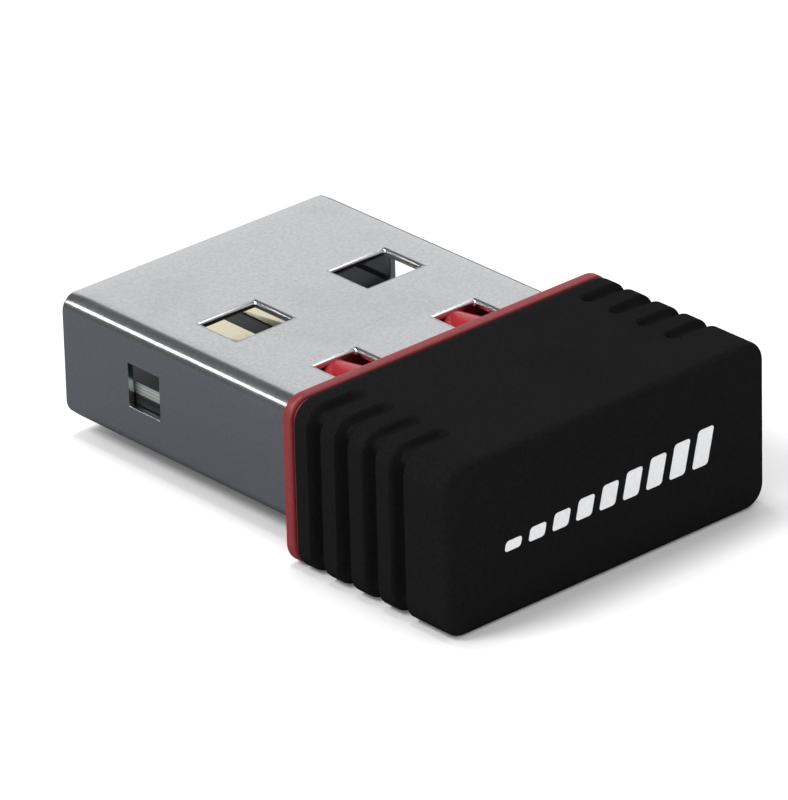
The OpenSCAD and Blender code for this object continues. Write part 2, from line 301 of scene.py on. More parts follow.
def blocks(boxes: np.ndarray, edge: float, corner: float) -> tuple[np.ndarray, list[list[int]]]:
    """One mesh of upright blocks with rounded corners and rounded upper and lower edges.

    Each block is a loft of rounded rectangles in XY, which follow a rounded edge at the bottom and again,
    upside down, at the top. The edge's radius is held to a share of the block's shortest side.

    Args:
        boxes: Lowest and highest corners (n, 2, 3), in millimetres.
        edge: Radius along the upper and the lower edges.
        corner: Radius of the upright corners.

    Returns:
        Vertices and faces of all blocks together.
    """
    outline = Outline(arc_steps=4)
    share, least_corner = 0.45, 0.01
    parts = []
    for low, high in boxes:
        size, middle = high - low, (high + low) / 2
        e = min(edge, size.min() * share)
        levels = [(inset, low[2] + climb) for inset, climb in rounded(e, 3)]
        levels += [(inset, low[2] + high[2] - z) for inset, z in levels[::-1]]
        loops = []
        for inset, z in levels:
            rounding = max(corner - inset, least_corner)
            flat, _ = outline.points(size[0] - 2 * inset, size[1] - 2 * inset, rounding)
            loops.append(np.column_stack([flat + middle[:2], np.full(len(flat), z)]))
        parts.append(loft(loops, ring=False))
    return joined(parts)


def solid_boxes(node: str) -> np.ndarray:
    """Boxes of the separate solids in a CAD node.

    Corners that share a place are one point, and each triangle passes the lowest label of its points on
    until no label changes; points with one label are one solid.

    Args:
        node: The node's name.

    Returns:
        Lowest and highest corners (n, 2, 3), in millimetres.
    """
    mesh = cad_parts[node].data
    co = np.zeros(len(mesh.vertices) * 3)
    mesh.vertices.foreach_get("co", co)
    corner = np.zeros(len(mesh.loops), int)
    mesh.loops.foreach_get("vertex_index", corner)
    places, index = np.unique(np.round(co.reshape(-1, 3) / MM, 4), axis=0, return_inverse=True)
    triangles = index.reshape(-1)[corner].reshape(-1, 3)
    label = np.arange(len(places))
    while True:
        lowest = np.repeat(label[triangles].min(1), 3)
        spread = label.copy()
        np.minimum.at(spread, triangles.reshape(-1), lowest)
        if (spread == label).all():
            break
        label = spread
    return np.array([[places[label == v].min(0), places[label == v].max(0)] for v in np.unique(label)])


def box_mm(node: str) -> tuple[np.ndarray, np.ndarray]:
    """Lowest and highest corner of a CAD node, in millimetres."""
    low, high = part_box(node)
    return np.array(low) / MM, np.array(high) / MM


def bevel(piece: bpy.types.Object, width: float, segments: int = 2, angle: float = 40.0) -> None:
    """Rounds a piece's sharp edges.

    Args:
        piece: The piece.
        width: Width of the rounding, in millimetres.
        segments: Steps of the rounding.
        angle: Edges sharper than this many degrees are rounded.
    """
    rounding = piece.modifiers.new("edge_rounding", "BEVEL")
    rounding.width = width * MM
    rounding.segments = segments
    rounding.limit_method = "ANGLE"
    rounding.angle_limit = math.radians(angle)
    rounding.harden_normals = True


def flat_faces_stay_flat(piece: bpy.types.Object) -> None:
    """Weights a piece's normals by face area, so that only its roundings shade as curves."""
    piece.modifiers.new("weighted_normals", "WEIGHTED_NORMAL").keep_sharp = True


# ---------------------------------------------------------------- finishes


class Groups:
    """Shader node groups that more than one finish uses, each built once."""

    @staticmethod
    def _new(name: str, inputs: dict[str, float], outputs: tuple[str, ...]) -> bpy.types.NodeTree:
        """Makes an empty group with float inputs and float outputs.

        Args:
            name: The group's name.
            inputs: Input names and default values.
            outputs: Output names.

        Returns:
            The group, with its input and output nodes.
        """
        group = bpy.data.node_groups.new(name, "ShaderNodeTree")
        for key, value in inputs.items():
            socket = group.interface.new_socket(key, in_out="INPUT", socket_type="NodeSocketFloat")
            socket.default_value = value
        for key in outputs:
            group.interface.new_socket(key, in_out="OUTPUT", socket_type="NodeSocketFloat")
        group.nodes.new("NodeGroupInput").name = "in"
        group.nodes.new("NodeGroupOutput").name = "out"
        return group

    @classmethod
    def grain(cls) -> bpy.types.NodeTree:
        """Fine grain: two noises on Object coordinates, one at the grain's size and one four times finer.

        Returns:
            A group with inputs Scale and Fineness, and outputs Grain and Speckle, both from 0 to 1.
        """
        found = bpy.data.node_groups.get("surface_grain")
        if found:
            return found
        group = cls._new("surface_grain", {"Scale": 5000.0, "Fineness": 4.0}, ("Grain", "Speckle"))
        nodes, links = group.nodes, group.links
        place = nodes.new("ShaderNodeTexCoord")
        coarse, fine = (nodes.new("ShaderNodeTexNoise") for _ in range(2))
        scale = nodes.new("ShaderNodeMath")
        scale.operation = "MULTIPLY"
        links.new(nodes["in"].outputs["Scale"], scale.inputs[0])
        links.new(nodes["in"].outputs["Fineness"], scale.inputs[1])
        links.new(nodes["in"].outputs["Scale"], coarse.inputs["Scale"])
        links.new(scale.outputs[0], fine.inputs["Scale"])
        for noise, out in ((coarse, "Grain"), (fine, "Speckle")):
            noise.inputs["Detail"].default_value = 3.0
            links.new(place.outputs["Object"], noise.inputs["Vector"])
            links.new(noise.outputs["Fac"], nodes["out"].inputs[out])
        return group

    @classmethod
    def handling(cls) -> bpy.types.NodeTree:
        """Handling marks: broad, soft patches where a surface has been touched or rubbed.

        The mask is a smooth step of a swirled noise, from the threshold up to the threshold plus a fade.

        Returns:
            A group with inputs Scale and Threshold, and the output Mask, from 0 to 1.
        """
        found = bpy.data.node_groups.get("handling_marks")
        if found:
            return found
        group = cls._new("handling_marks", {"Scale": 260.0, "Threshold": 0.5}, ("Mask",))
        fade, swirl = 0.18, 0.6
        nodes, links = group.nodes, group.links
        place, noise, ramp = (nodes.new(f"ShaderNode{k}") for k in ("TexCoord", "TexNoise", "MapRange"))
        ramp.interpolation_type = "SMOOTHSTEP"
        soft = nodes.new("ShaderNodeMath")
        soft.operation = "ADD"
        soft.inputs[1].default_value = fade
        noise.inputs["Detail"].default_value = 4.0
        noise.inputs["Distortion"].default_value = swirl
        links.new(place.outputs["Object"], noise.inputs["Vector"])
        links.new(nodes["in"].outputs["Scale"], noise.inputs["Scale"])
        links.new(nodes["in"].outputs["Threshold"], soft.inputs[0])
        links.new(noise.outputs["Fac"], ramp.inputs["Value"])
        links.new(nodes["in"].outputs["Threshold"], ramp.inputs["From Min"])
        links.new(soft.outputs[0], ramp.inputs["From Max"])
        links.new(ramp.outputs["Result"], nodes["out"].inputs["Mask"])
        return group


@dataclass(frozen=True)
class Finish:
    """A procedural finish: a grained base colour, a roughness that handling changes, and a fine relief.

    Attributes:
        slot: The finish's name, which is the record's slot if it has one.
        dark: Colour in the grain's hollows.
        light: Colour on the grain's crests.
        metallic: 1 for metal, 0 otherwise.
        rough: Lowest and highest roughness.
        grain_scale: Noise scale of the grain, per metre.
        relief: Height of the grain, in millimetres.
        specular: Specular level of a plastic.
        handling_scale: Noise scale of the handling marks, per metre.
        recorded: Whether the record has a slot of this name; it is not used.
        surface: Tells apart the materials of one slot, such as the plain one and a glossier copy whose
            brighter base colour is painted light.
    """

    slot: str
    dark: tuple[float, float, float]
    light: tuple[float, float, float]
    metallic: float = 0.0
    rough: tuple[float, float] = (0.4, 0.5)
    grain_scale: float = 6000.0
    relief: float = 0.002
    specular: float = 0.5
    handling_scale: float = 260.0
    recorded: bool = True
    surface: str = "plain"

    def colour(self, nodes: bpy.types.Nodes, links: bpy.types.NodeLinks,
               grain: bpy.types.Node) -> bpy.types.NodeSocket:
        """Adds the nodes of the base colour: the grain mixes the dark colour with the light one.

        Args:
            nodes: The material's nodes.
            links: The material's links.
            grain: The placed grain group.

        Returns:
            The socket that carries the colour.
        """
        mix = nodes.new("ShaderNodeMix")
        mix.data_type = "RGBA"
        mix.inputs["A"].default_value = (*self.dark, 1.0)
        mix.inputs["B"].default_value = (*self.light, 1.0)
        links.new(grain.outputs["Grain"], mix.inputs["Factor"])
        return mix.outputs["Result"]

    def material(self) -> bpy.types.Material:
        """The finish as a material, built on first use.

        Returns:
            The material.
        """
        name = f"{self.slot}_{self.surface}"
        found = bpy.data.materials.get(name)
        if found:
            return found
        made = bpy.data.materials.new(name)
        made.use_nodes = True
        nodes, links = made.node_tree.nodes, made.node_tree.links
        shader = nodes["Principled BSDF"]
        shader.inputs["Metallic"].default_value = self.metallic
        shader.inputs["Specular IOR Level"].default_value = self.specular
        grain, marks = nodes.new("ShaderNodeGroup"), nodes.new("ShaderNodeGroup")
        grain.node_tree, marks.node_tree = Groups.grain(), Groups.handling()
        grain.inputs["Scale"].default_value = self.grain_scale
        marks.inputs["Scale"].default_value = self.handling_scale
        links.new(self.colour(nodes, links, grain), shader.inputs["Base Color"])
        rough = nodes.new("ShaderNodeMapRange")
        rough.inputs["To Min"].default_value, rough.inputs["To Max"].default_value = self.rough
        links.new(marks.outputs["Mask"], rough.inputs["Value"])
        links.new(rough.outputs["Result"], shader.inputs["Roughness"])
        relief = nodes.new("ShaderNodeBump")
        relief.inputs["Distance"].default_value = self.relief * MM
        links.new(grain.outputs["Speckle"], relief.inputs["Height"])
        links.new(relief.outputs["Normal"], shader.inputs["Normal"])
        return made

    def put_on(self, piece: bpy.types.Object) -> bpy.types.Object:
        """Dresses a piece in this finish.

        Args:
            piece: A new piece or a CAD node's object.

        Returns:
            The same piece.
        """
        piece.data.materials.clear()
        piece.data.materials.append(self.material())
        return piece


@dataclass(frozen=True)
class LaminateFinish(Finish):
    """Circuit board: solder mask on its two faces, and bare glass-fibre laminate on its cut edges.

    Attributes:
        edge: Colour of the cut laminate.
        ply: Thickness of one glass ply, in millimetres.
        seam_shade: Brightness of the seams between plies, as a share of the edge's colour.
        waviness: Distortion of the plies.
        mask_tilt: The mask lies where the normal's Z is above this.
    """

    edge: tuple[float, float, float] = (0.3, 0.33, 0.31)
    ply: float = 0.13
    seam_shade: float = 0.62
    waviness: float = 1.5
    mask_tilt: float = 0.7

    def colour(self, nodes: bpy.types.Nodes, links: bpy.types.NodeLinks,
               grain: bpy.types.Node) -> bpy.types.NodeSocket:
        """Mixes the mask's colour with layered laminate by how upright the surface normal is.

        Args:
            nodes: The material's nodes.
            links: The material's links.
            grain: The placed grain group.

        Returns:
            The socket that carries the colour.
        """
        mask = Finish.colour(self, nodes, links, grain)
        place, split = nodes.new("ShaderNodeTexCoord"), nodes.new("ShaderNodeSeparateXYZ")
        links.new(place.outputs["Normal"], split.inputs[0])
        upright, choose = nodes.new("ShaderNodeMath"), nodes.new("ShaderNodeMath")
        upright.operation, choose.operation = "ABSOLUTE", "GREATER_THAN"
        choose.inputs[1].default_value = self.mask_tilt
        links.new(split.outputs["Z"], upright.inputs[0])
        links.new(upright.outputs[0], choose.inputs[0])
        plies = nodes.new("ShaderNodeTexWave")
        plies.bands_direction = "Z"
        plies.inputs["Scale"].default_value = math.pi / (10 * self.ply * MM)
        plies.inputs["Distortion"].default_value = self.waviness
        links.new(place.outputs["Object"], plies.inputs["Vector"])
        layered, final = nodes.new("ShaderNodeMix"), nodes.new("ShaderNodeMix")
        layered.data_type = final.data_type = "RGBA"
        layered.inputs["A"].default_value = (*(self.seam_shade * c for c in self.edge), 1.0)
        layered.inputs["B"].default_value = (*self.edge, 1.0)
        links.new(plies.outputs["Fac"], layered.inputs["Factor"])
        links.new(choose.outputs[0], final.inputs["Factor"])
        links.new(layered.outputs["Result"], final.inputs["A"])
        links.new(mask, final.inputs["B"])
        return final.outputs["Result"]


NICKEL = Finish("nickel_plate", (0.62, 0.63, 0.65), (0.88, 0.89, 0.91), 1.0, (0.2, 0.25), 9000.0, 0.002)
RED = Finish("red_plastic", (0.165, 0.017, 0.02), (0.26, 0.027, 0.032), 0.0, (0.38, 0.5), 5200.0, 0.0015)
# The slots' red is the same plastic with a lower roughness and a brighter, more saturated base colour. That
# brighter colour is painted light reflected into the slots.
RED_GLOSSY_PAINTED_LIGHT = Finish("red_plastic", (0.26, 0.012, 0.018), (0.4, 0.02, 0.03), 0.0, (0.16, 0.24), 5200.0,
                      0.0015, surface="glossy_painted_light")
CAP_BLACK = Finish("black_cap", (0.005, 0.005, 0.005), (0.0125, 0.0125, 0.0125), 0.0, (0.56, 0.66),
                   9000.0, 0.004, specular=0.008)
INSULATOR = Finish("black_insulator", (0.006, 0.006, 0.007), (0.012, 0.012, 0.014), 0.0, (0.32, 0.42))
BOARD = LaminateFinish("board_laminate", (0.002, 0.012, 0.015), (0.004, 0.026, 0.028), 0.0, (0.3, 0.42),
                       2500.0, 0.002, specular=0.3)
GOLD = Finish("gold_plate", (0.9, 0.83, 0.56), (0.98, 0.93, 0.7), 1.0, (0.2, 0.34), 8000.0, 0.0015)
COPPER = Finish("copper_trace", (0.5, 0.24, 0.12), (0.66, 0.36, 0.2), 1.0, (0.3, 0.42), 8000.0, 0.0015)
RESIN = Finish("chip_resin", (0.011, 0.011, 0.012), (0.024, 0.024, 0.026), 0.0, (0.42, 0.55), 12000.0, 0.004)
TIN = Finish("solder_tin", (0.6, 0.6, 0.58), (0.8, 0.8, 0.77), 1.0, (0.28, 0.45), 6000.0, 0.004)
CRYSTAL_BASE = Finish("crystal_ceramic", (0.46, 0.38, 0.25), (0.62, 0.54, 0.38), 0.0, (0.5, 0.6), 9000.0)
CRYSTAL_LID = Finish("crystal_metal", (0.6, 0.61, 0.62), (0.76, 0.77, 0.78), 1.0, (0.26, 0.38), 9000.0)
FERRITE = Finish("ferrite_ceramic", (0.035, 0.035, 0.04), (0.075, 0.075, 0.08), 0.0, (0.5, 0.62), 9000.0,
                 0.004)
CAPACITOR = Finish("capacitor_ceramic", (0.26, 0.16, 0.08), (0.42, 0.28, 0.16), 0.0, (0.4, 0.5), 9000.0)
RESISTOR = Finish("resistor_glaze", (0.012, 0.012, 0.014), (0.03, 0.03, 0.034), 0.0, (0.18, 0.26), 6000.0)
ANTENNA_CERAMIC = Finish("antenna_ceramic", (0.62, 0.6, 0.54), (0.8, 0.78, 0.72), 0.0, (0.36, 0.46), 9000.0)
INK = Finish("white_ink", (0.74, 0.75, 0.77), (0.9, 0.91, 0.92), 0.0, (0.45, 0.55), 7000.0, 0.003,
             recorded=False)


# ---------------------------------------------------------------- the plug's shell


class Face(Enum):
    """Flat faces of the folded shell, in the order in which the sheet runs round them."""

    UNDER = 0
    RIGHT = 1
    ROOF = 2
    LEFT = 3


@dataclass(frozen=True)
class Opening:
    """A rectangular cut-out in one face of the shell, in millimetres.

    Attributes:
        face: The face that it is cut in.
        across: Its range in X on the roof and the underside, or in Z on the sides.
        along: Its range in Y.
    """

    face: Face
    across: tuple[float, float]
    along: tuple[float, float]


@dataclass
class PlugShell:
    """The folded, plated steel shell, with its windows, root slots, side holes and seam.

    Attributes:
        low: Lowest corner of the CAD node.
        high: Its highest corner.
        sheet: Thickness of the steel.
        bend_radius: Outside radius of the four bends.
        bend_steps: Steps of a bend's arc.
        window_x: Range in X of the right-hand windows.
        window_y: Range in Y of the windows.
        slot_x: Range in X of the right-hand root slots.
        slot_end: Y where the root slots end.
        slot_closed: Y where their rims close, under the collar's flange.
        hole_y: Range in Y of the side holes.
        hole_z: Range in Z of the side holes.
        clip_x: Half width of the hole for the cap's clip.
        clip_y: Range in Y of that hole.
        seam_gap: Gap of the seam.
        tongue_x: How far the seam's tongue reaches in X.
        tongue_y: Range in Y of the tongue at its root.
        tongue_flare: How far each flank moves out at the tongue's tip.
        flank_fade: Distance from a flank over which the flare fades out.
        tip_fade: Where the flare has faded out past the tip, as a multiple of the tongue's reach.
        lead_in: How far the mouth draws in.
        lead_in_length: Length over which it does.
        rim: Width of the rolled rims.
        rim_back: Chamfer at a rim's inner edge.
        rim_corners: Corner radii of an opening at the rim's foot and at its top.
        edge_rounding: Rounding of the other cut edges.
        step: Longest cell of the grid.
    """

    low: np.ndarray = field(default_factory=lambda: box_mm("plug_shell")[0])
    high: np.ndarray = field(default_factory=lambda: box_mm("plug_shell")[1])
    sheet: float = SHEET
    bend_radius: float = 0.6
    bend_steps: int = 10
    window_x: tuple[float, float] = (1.7, 4.1)
    window_y: tuple[float, float] = (5.63, 7.48)
    slot_x: tuple[float, float] = (1.75, 3.55)
    slot_end: float = SLOT_END
    slot_closed: float = -0.3
    hole_y: tuple[float, float] = (7.45, 9.05)
    hole_z: tuple[float, float] = (-0.7, 0.9)
    clip_x: float = 0.8
    clip_y: tuple[float, float] = (-2.05, -1.15)
    seam_gap: float = 0.06
    tongue_x: float = 1.3
    tongue_y: tuple[float, float] = (8.5, 10.7)
    tongue_flare: float = 0.3
    flank_fade: float = 0.7
    tip_fade: float = 2.6
    lead_in: float = 0.03
    lead_in_length: float = 0.45
    rim: float = 0.11
    rim_back: float = 0.04
    rim_corners: tuple[float, float] = (0.005, 0.105)
    edge_rounding: float = 0.03
    step: float = 0.5

    def rimmed(self) -> list[Opening]:
        """The latch windows and the root slots, on the roof and on the underside.

        Returns:
            The cut-outs that have a rim, by their size inside it.
        """
        pairs = ((self.window_x, self.window_y), (self.slot_x, (self.low[1], self.slot_end)))
        return [
            Opening(face, (min(side * a, side * b), max(side * a, side * b)), along)
            for face in (Face.ROOF, Face.UNDER) for side in (-1, 1) for (a, b), along in pairs
        ]

    def openings(self) -> list[Opening]:
        """Every cut-out: those with a rim, wider by the rim, the side holes, the clip's hole and the seam.

        Returns:
            The cut-outs.
        """
        root, tip, g, r = self.low[1], self.high[1], self.seam_gap, self.rim
        cuts = [Opening(f, self.hole_z, self.hole_y) for f in (Face.LEFT, Face.RIGHT)]
        for hole in self.rimmed():
            (a, b), (c, d) = hole.across, hole.along
            cuts.append(Opening(hole.face, (a - r, b + r), (max(c - r, root), d + r)))
        cuts.append(Opening(Face.ROOF, (-self.clip_x, self.clip_x), self.clip_y))
        back, front = self.tongue_y
        reach = self.tongue_x + g
        return cuts + [
            Opening(Face.UNDER, (-g / 2, g / 2), (root, back)),
            Opening(Face.UNDER, (-g / 2, g / 2), (front, tip)),
            Opening(Face.UNDER, (-g / 2, reach), (back - g, back)),
            Opening(Face.UNDER, (-g / 2, reach), (front, front + g)),
            Opening(Face.UNDER, (self.tongue_x, reach), (back, front)),
        ]

    def section(self, cuts: list[Opening]) -> tuple[np.ndarray, np.ndarray, np.ndarray, np.ndarray]:
        """The sheet's section, as columns of the grid.

        A flat's columns are its cut-outs' edges and even steps between them; each bend is an arc of
        bend_steps steps about its centre.

        Args:
            cuts: The cut-outs, whose edges have to be columns.

        Returns:
            Points (n, 2) and normals (n, 2) in X and Z, and for the cell after each column its face's
            number, or -1 in a bend, and its middle across the face.
        """
        half_w, half_h = (self.high[0] - self.low[0]) / 2, (self.high[2] - self.low[2]) / 2
        r = self.bend_radius
        points, normals, faces, middles = [], [], [], []
        for face in Face:
            level = face in (Face.UNDER, Face.ROOF)
            sign = 1 if face in (Face.UNDER, Face.RIGHT) else -1
            reach = (half_w if level else half_h) - r
            breaks = [-reach, reach] + [v for c in cuts if c.face is face for v in c.across]
            run = lines(breaks, self.step)[::sign]
            normal = np.array([0.0, -sign] if level else [sign, 0.0])
            offset = half_h if level else half_w
            axis = np.array([1.0, 0.0] if level else [0.0, 1.0])
            points.append(run[:, None] * axis + normal * offset)
            normals.append(np.tile(normal, (len(run), 1)))
            faces += [face.value] * (len(run) - 1) + [-1]
            middles += [*((run[:-1] + run[1:]) / 2), 0.0]
            centre = points[-1][-1] - normal * r
            start = math.atan2(normal[1], normal[0])
            angle = (quarter(self.bend_steps) + start)[1:-1]
            ray = np.stack([np.cos(angle), np.sin(angle)], 1)
            points.append(centre + r * ray)
            normals.append(ray)
            faces += [-1] * len(ray)
            middles += [0.0] * len(ray)
        return np.concatenate(points), np.concatenate(normals), np.array(faces), np.array(middles)

    def flare(self, x: np.ndarray, y: np.ndarray, under: np.ndarray) -> np.ndarray:
        """How far the sheet moves in Y so that the seam's tongue widens towards its tip.

        The shift grows evenly with X up to the tongue's tip and fades out past it, and it fades out on
        each side of the tongue's two flanks.

        Args:
            x: X of each point.
            y: Y of each point.
            under: 1 on the underside, 0 elsewhere.

        Returns:
            The shift in Y.
        """
        reach = self.tongue_x + self.seam_gap
        grow = np.clip(x / self.tongue_x, 0, 1) * (1 - smooth(x, reach, self.tip_fade * reach))
        back, front = (np.clip(1 - np.abs(y - flank) / self.flank_fade, 0, 1) for flank in self.tongue_y)
        return self.tongue_flare * grow * under * (front - back)

    def build(self) -> bpy.types.Object:
        """Builds the shell as a sheet of cells without those in a cut-out, and gives it its thickness.

        Returns:
            The piece.
        """
        cuts = self.openings()
        section, normals, faces, middles = self.section(cuts)
        rows = lines([self.low[1], self.high[1]] + [v for c in cuts for v in c.along], self.step)
        x, y = np.meshgrid(section[:, 0], rows)
        z, _ = np.meshgrid(section[:, 1], rows)
        under = np.isclose(z, self.low[2]).astype(float)
        tip = smooth(y, self.high[1] - self.lead_in_length, self.high[1]) * self.lead_in
        points = np.stack(
            [x - tip * normals[:, 0], y + self.flare(x, y, under), z - tip * normals[:, 1]], -1)
        kept = np.ones((len(rows) - 1, len(section)), bool)
        middle_y = (rows[:-1] + rows[1:]) / 2
        for cut in cuts:
            inside = (faces == cut.face.value) & (middles > cut.across[0]) & (middles < cut.across[1])
            kept &= ~np.outer((middle_y > cut.along[0]) & (middle_y < cut.along[1]), inside)
        cells = grid_faces(len(rows), len(section), False, True)[kept]
        piece = new_piece("plug_shell_sheet", points.reshape(-1, 3), cells.tolist())
        wall = piece.modifiers.new("sheet_thickness", "SOLIDIFY")
        wall.thickness = self.sheet * MM
        wall.offset = -1.0
        wall.use_even_offset = True
        bevel(piece, self.edge_rounding, angle=50.0)
        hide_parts("plug_shell")
        return NICKEL.put_on(piece)

    def rims(self) -> bpy.types.Object:
        """The rolled edges of the windows and root slots, each a closed section carried round its opening.

        The section is the sheet's thickness with a quarter circle for its outer corner. Each point of it
        becomes a rounded rectangle, inset from the cut by the point's distance into the opening and sunk by
        its depth. A root slot's rim closes under the collar's flange.

        Returns:
            The piece.
        """
        outline, r, back = Outline(arc_steps=4), self.rim, self.rim_back
        section = [(r * math.sin(a), r * (1 - math.cos(a))) for a in quarter(6)]
        section += [(r, self.sheet - back), (r - back, self.sheet), (0.0, self.sheet)]
        sharp, blunt = self.rim_corners
        parts = []
        for hole in self.rimmed():
            (x0, x1), (y0, y1) = hole.across, hole.along
            y0 = max(y0, self.slot_closed)
            middle = ((x0 + x1) / 2, (y0 + y1) / 2)
            sign, level = (1, self.high[2]) if hole.face is Face.ROOF else (-1, self.low[2])
            loops = []
            for into, depth in section:
                width, length = x1 - x0 + 2 * (r - into), y1 - y0 + 2 * (r - into)
                flat, _ = outline.points(width, length, sharp + (blunt - sharp) * into / r)
                loops.append(np.column_stack([flat + middle, np.full(len(flat), level - sign * depth)]))
            points, faces = loft(loops, ring=True)
            parts.append((points, outward(points, faces)))
        return NICKEL.put_on(new_piece("plug_shell_rims", *joined(parts)))


# ---------------------------------------------------------------- the collar


@dataclass(frozen=True)
class Ramp:
    """The red tongue in a root slot and the sunk floor round it, in millimetres.

    Attributes:
        start: Y where the tongue begins to slope.
        tip: Y of its tip.
        flank: Half of its width at the start.
        fall: Distance over which its flanks and its tip drop to the floor.
        narrowing: Share of its width lost at the tip.
        slope: Share of its height lost at the tip.
        crown: How much its flanks lie under its middle.
        sunk: How far its top lies under the roof.
        overlap: How far the floor passes the slot in X and in Y.
        back: Y where the floor starts, under the flange.
        floor_rise: How far the floor stands above the spigot's waist.
        thick: Thickness of the floor.
        samples: Points along each side of the grid.
    """

    start: float = 1.0
    tip: float = 2.6
    flank: float = 0.84
    fall: float = 0.2
    narrowing: float = 0.3
    slope: float = 0.14
    crown: float = 0.3
    sunk: float = 0.03
    overlap: tuple[float, float] = (0.2, 0.12)
    back: float = -0.3
    floor_rise: float = 0.05
    thick: float = 0.25
    samples: int = 61


